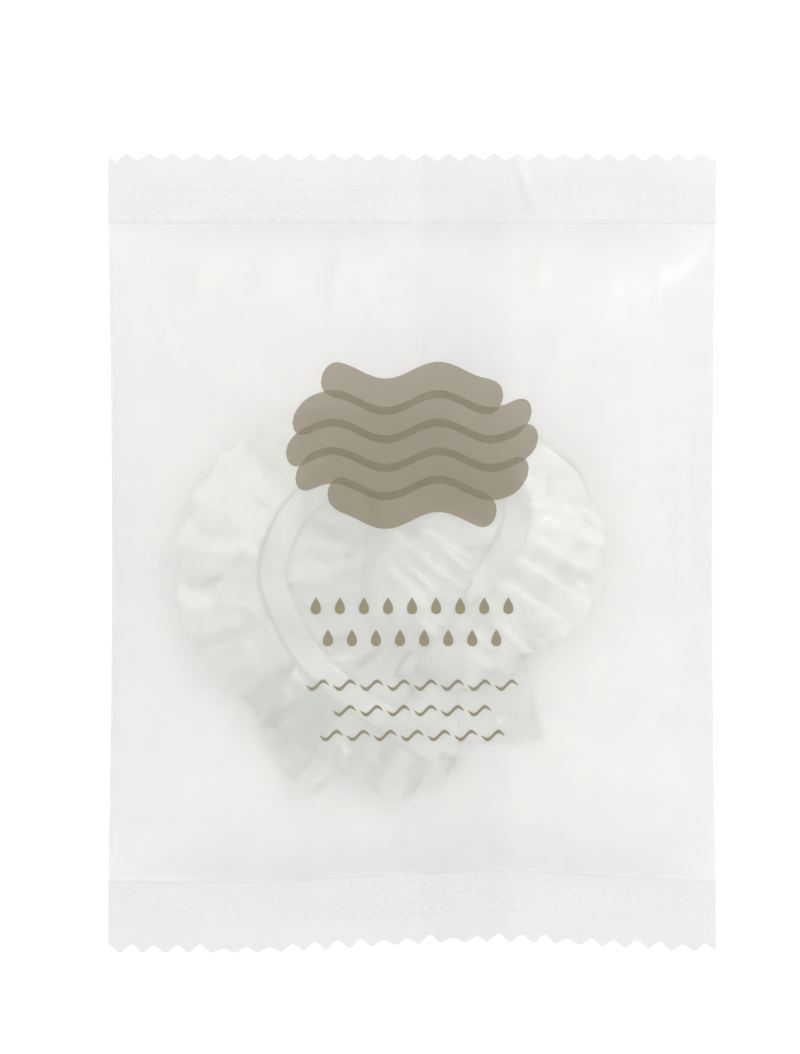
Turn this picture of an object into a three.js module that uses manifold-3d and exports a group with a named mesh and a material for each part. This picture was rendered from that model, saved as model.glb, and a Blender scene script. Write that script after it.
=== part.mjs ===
// A disposable shower cap as it is supplied: folded flat and sealed in a frosted film sachet.
// Millimetres. The sachet lies on its back: +X to its right, +Y towards the top seal, +Z out of the front.
// The origin is on the table, under the middle of the sachet.
import * as THREE from "three";
import { mergeVertices } from "three/addons/utils/BufferGeometryUtils.js";
import Module from "manifold-3d";

const wasm = await Module();
wasm.setup();

// Sachet, measured over its cut edges
const SACHET_WIDTH = 84;
const SACHET_HEIGHT = 110.5;
const FILM = 0.2;
const GAP = 0.3;
const WELD_DISTANCE = 1e-4;

// End seals: crimped bands that end in a saw-tooth cut. The filled pouch draws the bottom one up in a bow.
const SEAL_DEPTH = 9.6;
const SEAL_PLANE_Z = 3.4;
const TOOTH_PITCH = 3.175;
const TOOTH_DEPTH = 1.0;
const TOP_TOOTH_START = 2.6;
const BOTTOM_TOOTH_START = 1.6;
const BOTTOM_BOW = 1.5;
const BOW_CENTRE_X = 11;
const BOW_HALF_WIDTH = 36;

// Pouch between the end seals
const SIDE_PULL = 0.5;
const SIDE_ROUNDNESS = 4;
const END_ROUNDNESS = 6;
const HEADROOM = 0.7;
const BACK_FLATNESS = 2;
const PANEL_COLUMNS = 18;
const PANEL_ROWS = 20;

// Fin seal: the two long edges of the web, welded face to face and folded flat on the back
const FIN_ROOT_X = 1.4;
const FIN_WIDTH = 12;
const FIN_WELD = 0.05;
const FIN_RAMP = 2.5;
const FIN_END_CLEARANCE = 1.5;
const FIN_PATCH_INSET = 1;

// Elastic ring: flattened into an upper and a lower run, which fold over at both ends
const CASING_WIDTH = 3.6;
const CASING_HEIGHT = 1.6;
const CASING_WALL = 0.25;
const ELASTIC_CLEARANCE = 0.3;
const SPLICE_GAP = 0.3;
const RUN_STEPS = 32;
const FOLD_STEPS = 5;
const SECTION_SIDES = 8;

// Plan of the ring, from the fold at its foot up the left lobe, over the top and down the right lobe
const RING_PLAN = [
  [5.5, -28.6],
  [-2.1, -23.8],
  [-10.9, -17.5],
  [-17.0, -9.5],
  [-19.2, -1.8],
  [-15.5, 6.2],
  [-8.0, 11.4],
  [1.0, 12.8],
  [9.5, 11.2],
  [14.4, 6.8],
  [13.0, 0.9],
  [7.0, -7.2],
  [-0.5, -15.5],
];
// Stretches of the ring are given by the numbers of its points, counted from 0.
// Between these two it climbs from the left lobe onto the right one, which lies on top.
const CLIMB = [6.1, 7.9];

// Frill outside the ring and crown inside it, both gathered into pleats
const CAP_PLY = 0.4;
const FRILL_PLEAT = 0.55;
const FRILL_ROOT_SHARE = 0.3;
const CROWN_PLEAT = 0.4;
const TAIL_PLEAT = 0.5;
const FRILL_ROWS = 3;
const CROWN_ROWS = 2;
const LEFT_PLEATS = 18;
const RIGHT_PLEATS = 12;
const TAIL_PLEATS = 4;
const RIGHT_DROOP = 2.6;
const LEFT_FRILL_RUN = [0.1, 6.9];
const RIGHT_FRILL_RUN = [7.1, 11.9];
const LEFT_CROWN_RUN = [0.2, 7.4];
const RIGHT_CROWN_RUN = [7.3, 11.8];
const LEFT_GATHER = [-2, -4];
const RIGHT_GATHER = [-6, 3];
const GATHER_REACH = 0.85;
// Depth of each frill at even stations along its run
const LEFT_FRILL_DEPTHS = [3, 8.2, 7.6, 10.5, 12, 12, 11, 7, 5.2];
const LEFT_UNDER_DEPTHS = [2, 6.5, 12.5, 9, 11, 11.5, 10.5, 7.5, 5.2];
const RIGHT_FRILL_DEPTHS = [5.2, 6, 7, 11.2, 12.8, 10.5, 8];
const RIGHT_UNDER_DEPTHS = [4.6, 5.4, 7.6, 10.4, 12, 11.4, 8];
// Crown film that spills out between the lobes: where it starts along the crown's edge, how far it lies from
// that edge, and its reach at the top and at the foot
const TAIL_START = 0.6;
const TAIL_CLEARANCE = 0.6;
const TAIL_TOP_REACH = 15.5;
const TAIL_FOOT_REACH = 12.5;

// Heights of the stack, from the table up
const FIN_STACK = 2 * FILM + FIN_WELD;
const CAP_BASE_Z = FIN_STACK + GAP + FILM + GAP;
const LAYER_HEIGHT = Math.max(CASING_HEIGHT, 2 * FRILL_PLEAT + CAP_PLY);
const LAYER_PITCH = LAYER_HEIGHT + GAP;
const LEFT_Z = CAP_BASE_Z + LAYER_HEIGHT / 2 + LAYER_PITCH;
const RIGHT_Z = LEFT_Z + 2 * LAYER_PITCH;
const FRONT_INNER_Z = RIGHT_Z + LAYER_HEIGHT / 2 + HEADROOM;
const SEAL_EDGE_Y = SACHET_HEIGHT / 2 - SEAL_DEPTH;

const SACHET_FILM = { color: 0xe9e9e7, roughness: 0.45, metalness: 0 };
const CAP_FILM = { color: 0xdfe3de, roughness: 0.25, metalness: 0 };
const CASING_FILM = { color: 0xe3e6e1, roughness: 0.3, metalness: 0 };
const ELASTIC_TAPE = { color: 0xf2f2ee, roughness: 0.8, metalness: 0 };

const packedCap = new THREE.Group();

function add(name, geometry, look) {
  const mesh = new THREE.Mesh(geometry, new THREE.MeshStandardMaterial(look));
  mesh.name = name;
  packedCap.add(mesh);
}

const evenSteps = (count) => Array.from({ length: count + 1 }, (_, i) => i / count);

// A closed geometry with its faces turned outwards
function closedGeometry(positions, triangles) {
  const corner = (i) => new THREE.Vector3().fromArray(positions, 3 * i);
  let volume = 0;
  for (let i = 0; i < triangles.length; i += 3) {
    const [a, b, c] = [0, 1, 2].map((k) => corner(triangles[i + k]));
    volume += a.dot(b.cross(c));
  }
  if (volume < 0) triangles.reverse();
  const geometry = new THREE.BufferGeometry();
  geometry.setAttribute("position", new THREE.BufferAttribute(new Float32Array(positions), 3));
  geometry.setIndex(triangles);
  return geometry;
}

// A film patch: a grid of points, as thick along Z as it says, closed round its rim
function filmPatch(us, vs, pointAt, thickness) {
  const positions = [];
  const across = vs.length;
  for (const side of [0.5, -0.5]) {
    for (const u of us) {
      for (const v of vs) {
        const p = pointAt(u, v);
        positions.push(p.x, p.y, p.z + side * thickness);
      }
    }
  }
  const under = us.length * across;
  const triangles = [];
  const quad = (a, b, c, d) => triangles.push(a, b, c, a, c, d);
  const at = (i, j) => i * across + j;
  for (let i = 0; i + 1 < us.length; i++) {
    for (let j = 0; j + 1 < across; j++) {
      quad(at(i, j), at(i + 1, j), at(i + 1, j + 1), at(i, j + 1));
      quad(under + at(i, j), under + at(i, j + 1), under + at(i + 1, j + 1), under + at(i + 1, j));
    }
  }
  const rim = [];
  for (let i = 0; i < us.length; i++) rim.push(at(i, 0));
  for (let j = 1; j < across; j++) rim.push(at(us.length - 1, j));
  for (let i = us.length - 2; i >= 0; i--) rim.push(at(i, across - 1));
  for (let j = across - 2; j > 0; j--) rim.push(at(0, j));
  rim.forEach((a, k) => {
    const b = rim[(k + 1) % rim.length];
    quad(b, a, under + a, under + b);
  });
  return closedGeometry(positions, triangles);
}

// How far the bottom seal is drawn up at x
function bow(x) {
  const share = Math.min(1, Math.abs(x - BOW_CENTRE_X) / BOW_HALF_WIDTH);
  return (BOTTOM_BOW * (1 + Math.cos(Math.PI * share))) / 2;
}

// How full the pouch is at a place: 1 in the middle, 0 at the side folds and the end seals.
// u runs across the sachet and v along it, both from -1 to 1.
const fullness = (u, v) => (1 - Math.abs(u) ** SIDE_ROUNDNESS) * (1 - Math.abs(v) ** END_ROUNDNESS);

function panelPlace(u, v) {
  const halfWidth = SACHET_WIDTH / 2 - SIDE_PULL * (1 - v ** 2);
  const x = u * halfWidth;
  const low = -SEAL_EDGE_Y + bow(x) + GAP;
  const high = SEAL_EDGE_Y - GAP;
  return { x, y: low + ((high - low) * (v + 1)) / 2 };
}

function frontPanel() {
  const edgeZ = SEAL_PLANE_Z + GAP / 2;
  const place = (s, t) => {
    const [u, v] = [2 * s - 1, 2 * t - 1];
    const inner = edgeZ + (FRONT_INNER_Z - edgeZ) * fullness(u, v);
    return { ...panelPlace(u, v), z: inner + FILM / 2 };
  };
  return filmPatch(evenSteps(PANEL_COLUMNS), evenSteps(PANEL_ROWS), place, FILM);
}

// How far the fin seal lifts the back film at x
function finLift(x) {
  const left = (x - (FIN_ROOT_X - GAP - FIN_RAMP)) / FIN_RAMP;
  const right = (FIN_ROOT_X + FIN_WIDTH + GAP + FIN_RAMP - x) / FIN_RAMP;
  return (FIN_STACK + GAP) * Math.max(0, Math.min(1, left, right));
}

// Middle of the back film: flat on the table, climbing to the seal plane at its edges
function backFilmZ(x, u, v) {
  const edgeZ = SEAL_PLANE_Z - GAP / 2 - FILM / 2;
  const settled = 1 - (1 - Math.min(1, BACK_FLATNESS * fullness(u, v))) ** 2;
  return edgeZ + (FILM / 2 + finLift(x) - edgeZ) * settled;
}

// A back panel runs from the fin's root to its side fold. Columns also stand at the feet of the fin's ramp.
function backPanel(side) {
  const halfWidth = SACHET_WIDTH / 2;
  const root = FIN_ROOT_X + (side * GAP) / 2;
  const rampHead = side < 0 ? FIN_ROOT_X - GAP : FIN_ROOT_X + FIN_WIDTH + GAP;
  const rampFoot = rampHead + side * FIN_RAMP;
  const beyond = evenSteps(PANEL_COLUMNS / 2 - 2).map((s) => rampFoot + s * (side * halfWidth - rampFoot));
  const columns = [root, rampHead, ...beyond].map((x) => x / halfWidth);
  const place = (u, t) => {
    const v = 2 * t - 1;
    return { ...panelPlace(u, v), z: backFilmZ(u * halfWidth, u, v) };
  };
  return filmPatch(columns, evenSteps(PANEL_ROWS), place, FILM);
}

// A ply of the fin follows the back film from one end seal to the other, outside it.
function finPly(number) {
  const reach = 1 - FIN_END_CLEARANCE / SEAL_EDGE_Y;
  const middleX = FIN_ROOT_X + FIN_WIDTH / 2;
  const u = middleX / (SACHET_WIDTH / 2);
  const place = (s, t) => {
    const v = reach * (2 * t - 1);
    const z = backFilmZ(middleX, u, v) - FILM - GAP - number * (FILM + FIN_WELD);
    return { x: FIN_ROOT_X + s * FIN_WIDTH, y: panelPlace(u, v).y, z };
  };
  return filmPatch([0, 1], evenSteps(PANEL_ROWS), place, FILM);
}

// The cut edge of an end seal, from left to right: places and how far each is cut in from the tips
function sawTooth(start) {
  const halfWidth = SACHET_WIDTH / 2;
  const half = TOOTH_PITCH / 2;
  const cutAt = (x) => {
    const turns = (x + halfWidth - start) / TOOTH_PITCH;
    return TOOTH_DEPTH * 2 * Math.abs(turns - Math.round(turns));
  };
  const corners = [-halfWidth];
  for (let x = (start % half) - halfWidth; x < halfWidth - GAP; x += half) {
    if (x > GAP - halfWidth) corners.push(x);
  }
  corners.push(halfWidth);
  return corners.map((x) => ({ x, cut: cutAt(x) }));
}

// Solids for joining and cutting, and back again
function solidOf(geometry) {
  const bare = geometry.clone();
  bare.deleteAttribute("normal");
  bare.deleteAttribute("uv");
  const merged = mergeVertices(bare, WELD_DISTANCE);
  const vertProperties = merged.attributes.position.array;
  return new wasm.Manifold(new wasm.Mesh({ numProp: 3, vertProperties, triVerts: merged.index.array }));
}

function geometryOf(solid) {
  const mesh = solid.getMesh();
  const geometry = new THREE.BufferGeometry();
  geometry.setAttribute("position", new THREE.BufferAttribute(mesh.vertProperties, 3));
  geometry.setIndex(new THREE.BufferAttribute(mesh.triVerts, 1));
  return geometry;
}

// An end seal is two plies of film, and four where the fin seal runs into it.
function endSeal(side, start) {
  const lift = (x) => (side < 0 ? bow(x) : 0);
  const teeth = sawTooth(start).map(({ x, cut }) => [x, side * (SACHET_HEIGHT / 2 - cut) + lift(x)]);
  const inner = teeth.map(([x]) => [x, side * SEAL_EDGE_Y + lift(x)]).reverse();
  const outline = new THREE.Shape([...teeth, ...inner].map(([x, y]) => new THREE.Vector2(x, y)));
  const slab = (thickness, z) => {
    const plies = new THREE.ExtrudeGeometry(outline, { depth: thickness, bevelEnabled: false, steps: 1 });
    return solidOf(plies.translate(0, 0, z));
  };
  const finPlies = 2 * FILM;
  const band = slab(2 * FILM, SEAL_PLANE_Z - FILM);
  const thickBand = slab(finPlies + FILM, SEAL_PLANE_Z - FILM - finPlies);
  const reach = 2 * SEAL_DEPTH;
  const finBox = new THREE.BoxGeometry(FIN_WIDTH, reach, 4 * finPlies);
  const innerY = side * (SEAL_EDGE_Y + FIN_PATCH_INSET) + lift(FIN_ROOT_X + FIN_WIDTH / 2);
  finBox.translate(FIN_ROOT_X + FIN_WIDTH / 2, innerY + (side * reach) / 2, SEAL_PLANE_Z - FILM);
  return geometryOf(band.add(thickBand.intersect(solidOf(finBox))));
}

// The ring in plan, the direction out of it, and how far it has climbed (0 to 1), at a point's number
const ringPlan = new THREE.CatmullRomCurve3(RING_PLAN.map(([x, y]) => new THREE.Vector3(x, y, 0)));
const lastNumber = RING_PLAN.length - 1;
const climbAt = (number) => THREE.MathUtils.smoothstep(number, ...CLIMB);

function ringAt(number) {
  const point = ringPlan.getPoint(number / lastNumber);
  point.z = LEFT_Z + climbAt(number) * (RIGHT_Z - LEFT_Z);
  return point;
}

function outwardAt(number) {
  const ahead = ringPlan.getTangent(number / lastNumber);
  return new THREE.Vector3(-ahead.y, ahead.x, 0);
}

// The whole loop as stations of {point, side}: the upper run, a fold, the lower run back, and a second fold
// that stops short of the start by the splice
function loopStations() {
  const run = evenSteps(RUN_STEPS).map((s) => s * lastNumber);
  const level = (number, drop) => {
    const point = ringAt(number);
    point.z -= drop;
    return { point, side: outwardAt(number) };
  };
  const radius = LAYER_PITCH / 2;
  const fold = (number, onward, rising, turn) =>
    evenSteps(FOLD_STEPS).slice(1).map((s) => {
      const angle = s * turn;
      const { point, side } = level(number, radius);
      point.addScaledVector(ringPlan.getTangent(number / lastNumber), onward * radius * Math.sin(angle));
      point.z -= rising * radius * Math.cos(angle);
      return { point, side };
    });
  const upper = run.map((number) => level(number, 0));
  const lower = run.slice(0, -1).reverse().map((number) => level(number, LAYER_PITCH));
  const splice = SPLICE_GAP / radius;
  return [...upper, ...fold(lastNumber, 1, -1, Math.PI), ...lower, ...fold(0, -1, 1, Math.PI - splice)];
}

// A tube along the loop with a flat oval section, solid or with a bore right through it
function loopTube([width, height], bore) {
  const stations = loopStations();
  const last = stations.length - 1;
  const section = ([w, h], i) => {
    const { point, side } = stations[i];
    const before = stations[Math.max(0, i - 1)].point;
    const after = stations[Math.min(last, i + 1)].point;
    const ahead = after.clone().sub(before).normalize();
    const up = ahead.cross(side).normalize();
    return Array.from({ length: SECTION_SIDES }, (_, k) => {
      const angle = (2 * Math.PI * (k + 0.5)) / SECTION_SIDES;
      const corner = point.clone().addScaledVector(side, (w / 2) * Math.cos(angle));
      return corner.addScaledVector(up, (h / 2) * Math.sin(angle));
    });
  };
  const walls = bore ? [[width, height], bore] : [[width, height]];
  const positions = [];
  for (const wall of walls) {
    stations.forEach((_, i) => section(wall, i).forEach((p) => positions.push(p.x, p.y, p.z)));
  }
  const triangles = [];
  const quad = (a, b, c, d) => triangles.push(a, b, c, a, c, d);
  const at = (wall, i, k) => (wall * stations.length + i) * SECTION_SIDES + (k % SECTION_SIDES);
  for (let k = 0; k < SECTION_SIDES; k++) {
    for (let i = 0; i < last; i++) {
      quad(at(0, i, k), at(0, i, k + 1), at(0, i + 1, k + 1), at(0, i + 1, k));
      if (bore) quad(at(1, i, k), at(1, i + 1, k), at(1, i + 1, k + 1), at(1, i, k + 1));
    }
    if (bore) {
      quad(at(0, 0, k), at(1, 0, k), at(1, 0, k + 1), at(0, 0, k + 1));
      quad(at(0, last, k), at(0, last, k + 1), at(1, last, k + 1), at(1, last, k));
    } else if (k > 0 && k + 1 < SECTION_SIDES) {
      triangles.push(at(0, 0, 0), at(0, 0, k + 1), at(0, 0, k));
      triangles.push(at(0, last, 0), at(0, last, k), at(0, last, k + 1));
    }
  }
  return closedGeometry(positions, triangles);
}

// The edge of a sheet beside the casing, outside it (side 1) or inside it (side -1)
function besideCasing(number, side) {
  return ringAt(number).addScaledVector(outwardAt(number), side * (CASING_WIDTH / 2 + GAP));
}

// A pleated sheet from the casing (v 0) to a far edge (v 1), in ridges and furrows by turns
function pleatedSheet({ run, pleats, rows, side, heightAt, farPoint, ridgeAt }) {
  const steps = 2 * pleats;
  const place = (u, v) => {
    const number = THREE.MathUtils.lerp(...run, u);
    const near = besideCasing(number, side);
    near.z = heightAt(number, 0);
    const point = near.clone().lerp(farPoint(u, near, outwardAt(number)), v);
    const ridge = Math.round(u * steps) % 2 ? 1 : -1;
    point.z = heightAt(number, v) + ridge * ridgeAt(v);
    return point;
  };
  return filmPatch(evenSteps(steps), evenSteps(rows), place, CAP_PLY);
}

// A smooth value along a run, through values given at even stations
function throughStations(values) {
  const line = new THREE.SplineCurve(values.map((value, i) => new THREE.Vector2(i, value)));
  return (u) => line.getPoint(u).y;
}

function frill(run, pleats, depths, layer) {
  const depthAt = throughStations(depths);
  const farPoint = (u, near, out) => near.clone().addScaledVector(out, depthAt(u));
  const ridgeAt = (v) => FRILL_PLEAT * THREE.MathUtils.lerp(FRILL_ROOT_SHARE, 1, v);
  const heightAt = (number, v) => ringAt(number).z - layer * LAYER_PITCH - RIGHT_DROOP * climbAt(number) * v;
  return pleatedSheet({ run, pleats, rows: FRILL_ROWS, side: 1, heightAt, farPoint, ridgeAt });
}

const gatherPoint = (near, gather) => near.clone().lerp(new THREE.Vector3(...gather, near.z), GATHER_REACH);

function crown(run, pleats, gather, z) {
  const farPoint = (u, near) => gatherPoint(near, gather);
  const ridgeAt = (v) => CROWN_PLEAT * (1 - v);
  return pleatedSheet({ run, pleats, rows: CROWN_ROWS, side: -1, heightAt: () => z, farPoint, ridgeAt });
}

// The tail lies in the lowest layer, one gap beyond the edge of the lower crown that faces it.
function crownTail() {
  const foot = besideCasing(LEFT_CROWN_RUN[0], -1);
  const top = foot.clone().lerp(gatherPoint(foot, LEFT_GATHER), TAIL_START);
  const along = foot.clone().sub(top).normalize();
  const away = new THREE.Vector3(-along.y, along.x, 0);
  const steps = 2 * TAIL_PLEATS;
  const place = (u, v) => {
    const point = top.clone().lerp(foot, u).addScaledVector(away, TAIL_CLEARANCE);
    point.x += v * THREE.MathUtils.lerp(TAIL_TOP_REACH, TAIL_FOOT_REACH, u);
    const ridge = Math.round(u * steps) % 2 ? 1 : -1;
    point.z += ridge * TAIL_PLEAT * v - LAYER_PITCH;
    return point;
  };
  return filmPatch(evenSteps(steps), evenSteps(FRILL_ROWS), place, CAP_PLY);
}

add("front_panel", frontPanel(), SACHET_FILM);
add("back_panel_left", backPanel(-1), SACHET_FILM);
add("back_panel_right", backPanel(1), SACHET_FILM);
add("fin_inner_ply", finPly(0), SACHET_FILM);
add("fin_outer_ply", finPly(1), SACHET_FILM);
add("top_seal", endSeal(1, TOP_TOOTH_START), SACHET_FILM);
add("bottom_seal", endSeal(-1, BOTTOM_TOOTH_START), SACHET_FILM);

const casing = [CASING_WIDTH, CASING_HEIGHT];
const bore = casing.map((size) => size - 2 * CASING_WALL);
const elastic = bore.map((size) => size - 2 * ELASTIC_CLEARANCE);
add("elastic_casing", loopTube(casing, bore), CASING_FILM);
add("elastic_band", loopTube(elastic), ELASTIC_TAPE);

add("frill_left", frill(LEFT_FRILL_RUN, LEFT_PLEATS, LEFT_FRILL_DEPTHS, 0), CAP_FILM);
add("frill_left_under", frill(LEFT_FRILL_RUN, LEFT_PLEATS, LEFT_UNDER_DEPTHS, 1), CAP_FILM);
add("frill_right", frill(RIGHT_FRILL_RUN, RIGHT_PLEATS, RIGHT_FRILL_DEPTHS, 0), CAP_FILM);
add("frill_right_under", frill(RIGHT_FRILL_RUN, RIGHT_PLEATS, RIGHT_UNDER_DEPTHS, 1), CAP_FILM);
add("crown_left", crown(LEFT_CROWN_RUN, LEFT_PLEATS, LEFT_GATHER, LEFT_Z), CAP_FILM);
add("crown_left_under", crown(LEFT_CROWN_RUN, LEFT_PLEATS, LEFT_GATHER, LEFT_Z - LAYER_PITCH), CAP_FILM);
add("crown_right", crown(RIGHT_CROWN_RUN, RIGHT_PLEATS, RIGHT_GATHER, RIGHT_Z), CAP_FILM);
add("crown_right_under", crown(RIGHT_CROWN_RUN, RIGHT_PLEATS, RIGHT_GATHER, RIGHT_Z - LAYER_PITCH), CAP_FILM);
add("crown_tail", crownTail(), CAP_FILM);

export default packedCap;
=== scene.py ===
# %% [markdown]
# # A packed shower cap
#
# The real object is a disposable shower cap as it is supplied: a round of thin film, gathered on an elastic,
# folded flat and sealed in a small frosted sachet. All of it is film, so this lesson is about sheets: how to
# bend a grid of points into a pillow, a crimp or pleats, and how to make film that is seen through but not
# clear. The CAD model gives the sizes, the places and the joints, and the pieces made here move with its
# bodies.

# %% Load the frame
import math

import bpy
import numpy as np
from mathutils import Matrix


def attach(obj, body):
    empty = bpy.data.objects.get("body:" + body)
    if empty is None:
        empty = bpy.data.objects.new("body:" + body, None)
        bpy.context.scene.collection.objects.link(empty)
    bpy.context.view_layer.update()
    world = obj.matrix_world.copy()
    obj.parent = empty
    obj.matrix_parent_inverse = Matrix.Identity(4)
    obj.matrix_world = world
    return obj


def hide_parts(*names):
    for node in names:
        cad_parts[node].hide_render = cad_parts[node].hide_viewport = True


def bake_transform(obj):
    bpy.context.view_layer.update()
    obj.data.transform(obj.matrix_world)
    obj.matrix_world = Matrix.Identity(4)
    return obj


MM = 0.001
TURN = 2 * math.pi
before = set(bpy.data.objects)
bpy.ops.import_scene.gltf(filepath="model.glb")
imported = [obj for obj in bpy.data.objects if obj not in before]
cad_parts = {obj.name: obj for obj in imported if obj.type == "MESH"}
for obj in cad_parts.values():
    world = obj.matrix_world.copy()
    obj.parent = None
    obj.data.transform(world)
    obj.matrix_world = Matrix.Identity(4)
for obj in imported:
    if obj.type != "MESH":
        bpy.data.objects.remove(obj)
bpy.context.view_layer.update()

# %% [markdown]
# ## Shader maths as plain sums
#
# Node trees are hard to read when every sum is three lines of node making. A small class round an output
# socket lets the sums be written as Python, and a second one holds a material with its shader. Numbers that
# don't change over the surface go straight onto the shader's own sockets.


# %% A socket that can be used in sums
class Wire:
    """An output socket of a finish. Sums on it add Math nodes."""

    def __init__(self, finish, socket):
        self.finish = finish
        self.socket = socket

    def sum_node(self, operation, first, second):
        return self.finish.node("ShaderNodeMath", {"operation": operation}, {0: first, 1: second})

    def __add__(self, other):
        return self.sum_node("ADD", self, other)

    def __radd__(self, other):
        return self.sum_node("ADD", other, self)

    def __sub__(self, other):
        return self.sum_node("SUBTRACT", self, other)

    def __rsub__(self, other):
        return self.sum_node("SUBTRACT", other, self)

    def __mul__(self, other):
        return self.sum_node("MULTIPLY", self, other)

    def __rmul__(self, other):
        return self.sum_node("MULTIPLY", other, self)


# %% A material and its nodes
class Finish:
    """A material: its Principled shader, and one method that adds any other node."""

    def __init__(self, name):
        self.material = bpy.data.materials.new(name)
        self.material.use_nodes = True
        self.tree = self.material.node_tree
        self.shader = self.tree.nodes["Principled BSDF"]

    def feed(self, node, inputs):
        for name, value in inputs.items():
            if isinstance(value, Wire):
                self.tree.links.new(value.socket, node.inputs[name])
            else:
                node.inputs[name].default_value = value

    def node(self, kind, settings, inputs, output=0):
        made = self.tree.nodes.new(kind)
        for name, value in settings.items():
            setattr(made, name, value)
        self.feed(made, inputs)
        return Wire(self, made.outputs[output])

    def wear(self, inputs):
        self.feed(self.shader, inputs)
        print("finish", self.material.name, "with", len(self.tree.nodes), "nodes")

    def blend_colours(self, share, first, second):
        return self.node("ShaderNodeMix", {"data_type": "RGBA"}, {0: share, 6: first, 7: second}, 2)

    def cloud(self, size_mm, detail=2.0, squeeze=(1.0, 1.0, 1.0)):
        """Soft noise from 0 to 1, with patches of about this size. A low squeeze draws them out."""
        place = self.node("ShaderNodeTexCoord", {}, {}, "Object")
        scale = tuple(factor / MM for factor in squeeze)
        place_mm = self.node("ShaderNodeVectorMath", {"operation": "MULTIPLY"}, {0: place, 1: scale})
        inputs = {"Vector": place_mm, "Scale": 1 / size_mm, "Detail": detail}
        return self.node("ShaderNodeTexNoise", {}, inputs)

    def mark(self, name):
        """A value that was stored on the mesh's points."""
        return self.node("ShaderNodeAttribute", {"attribute_name": name}, {}, "Fac")

    def bump(self, height, depth_mm):
        return self.node("ShaderNodeBump", {}, {"Height": height, "Distance": depth_mm * MM})


# %% [markdown]
# ## From a grid of points to film
#
# A sheet could be one layer of faces, but a single layer has no thickness to print or to bend light twice. So
# every film here is a grid of points in millimetres, moved half its thickness to either side and closed round
# its rim. The points carry marks that a material can read, such as the fold mark, which holds how deep in a
# fold they lie together with painted shade and painted highlights.


# %% Make a film
RIM_ANGLE = math.radians(50)


def add_object(name, data):
    made = bpy.data.objects.new(name, data)
    bpy.context.scene.collection.objects.link(made)
    return made


def facing(grid, ring):
    """Unit normals of a grid, on the side from which its second axis runs to the left of its first."""
    along = np.gradient(grid, axis=0)
    if ring:
        across = np.roll(grid, -1, axis=1) - np.roll(grid, 1, axis=1)
    else:
        across = np.gradient(grid, axis=1)
    normals = np.cross(along, across)
    return normals / np.linalg.norm(normals, axis=2, keepdims=True)


def shell(grid, thickness, ring=False):
    """Points in metres and faces of one closed sheet. ring joins the grid's last column to its first."""
    rows, columns = grid.shape[:2]
    count = rows * columns
    offset = facing(grid, ring) * np.reshape(thickness, np.shape(thickness) + (1,)) / 2
    points = np.concatenate([(grid + offset).reshape(-1, 3), (grid - offset).reshape(-1, 3)]) * MM
    number = np.arange(count).reshape(rows, columns)
    if ring:
        number = np.concatenate([number, number[:, :1]], axis=1)
    corners = [number[:-1, :-1], number[1:, :-1], number[1:, 1:], number[:-1, 1:]]
    front = np.stack(corners, axis=-1).reshape(-1, 4)
    back = front[:, ::-1] + count
    rim = [(number[-1, :-1], number[-1, 1:]), (number[0, 1:], number[0, :-1])]
    if not ring:
        rim += [(number[:-1, 0], number[1:, 0]), (number[1:, -1], number[:-1, -1])]
    begin, end = (np.concatenate(side) for side in zip(*rim))
    wall = np.stack([end, begin, begin + count, end + count], axis=-1)
    return points, np.concatenate([front, back, wall])


def film(name, grids, thickness, finish, ring=False, marks=None):
    """An object of closed sheets, one for each grid. marks are values on the points of a single grid."""
    points, faces, count = [], [], 0
    for grid in grids:
        sheet_points, sheet_faces = shell(grid, thickness, ring)
        points.append(sheet_points)
        faces.append(sheet_faces + count)
        count += len(sheet_points)
    mesh = bpy.data.meshes.new(name)
    mesh.from_pydata(np.concatenate(points), [], np.concatenate(faces))
    mesh.shade_smooth()
    mesh.set_sharp_from_angle(angle=RIM_ANGLE)
    for mark, values in (marks or {}).items():
        layer = mesh.attributes.new(mark, "FLOAT", "POINT")
        layer.data.foreach_set("value", np.tile(values.ravel(), 2).astype(np.float32))
    mesh.materials.append(finish.material)
    piece = add_object(name, mesh)
    print("film", name, "with", count, "points")
    return piece


def cut_flat(grid):
    """Works out the diagonals of a grid's cells; nothing is done with them."""
    first = grid[1:, 1:] - grid[:-1, :-1]
    second = grid[:-1, 1:] - grid[1:, :-1]


# %% [markdown]
# ## Small shapes that return everywhere
#
# Film is never quite even. Four helpers give it life: a smooth step, a bell, a sum of seeded waves that
# stands in for random waviness and is the same on every run, and a soft ridge between two points for a single
# fold.


# %% Steps, bells, ripples and ridges
def smooth(share):
    share = np.clip(share, 0, 1)
    return share * share * (3 - 2 * share)


def bell(distance, reach):
    """1 at no distance, falling off softly over the reach."""
    return np.exp(-((distance / reach) ** 2))


def ripples(x, y, size, seed, waves=24):
    """Even, seeded waviness with a spread of 1, made of waves about size long in all directions."""
    draw = np.random.default_rng(seed)
    total = np.zeros(np.broadcast(x, y).shape)
    for _ in range(waves):
        angle, phase = draw.uniform(0, TURN, 2)
        pitch = TURN / (size * draw.uniform(0.7, 1.5))
        total = total + np.cos(pitch * (x * math.cos(angle) + y * math.sin(angle)) + phase)
    return total / math.sqrt(waves / 2)


def ridge(x, y, start, end, width, height, fading=2.0):
    """A soft ridge from start to end that fades at both, the sooner the more fading."""
    step = np.subtract(end, start)
    length = np.linalg.norm(step)
    along = ((x - start[0]) * step[0] + (y - start[1]) * step[1]) / length**2
    aside = ((x - start[0]) * step[1] - (y - start[1]) * step[0]) / length
    fade = np.sin(math.pi * np.clip(along, 0, 1)) ** fading
    return height * fade * bell(aside, width)


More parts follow.
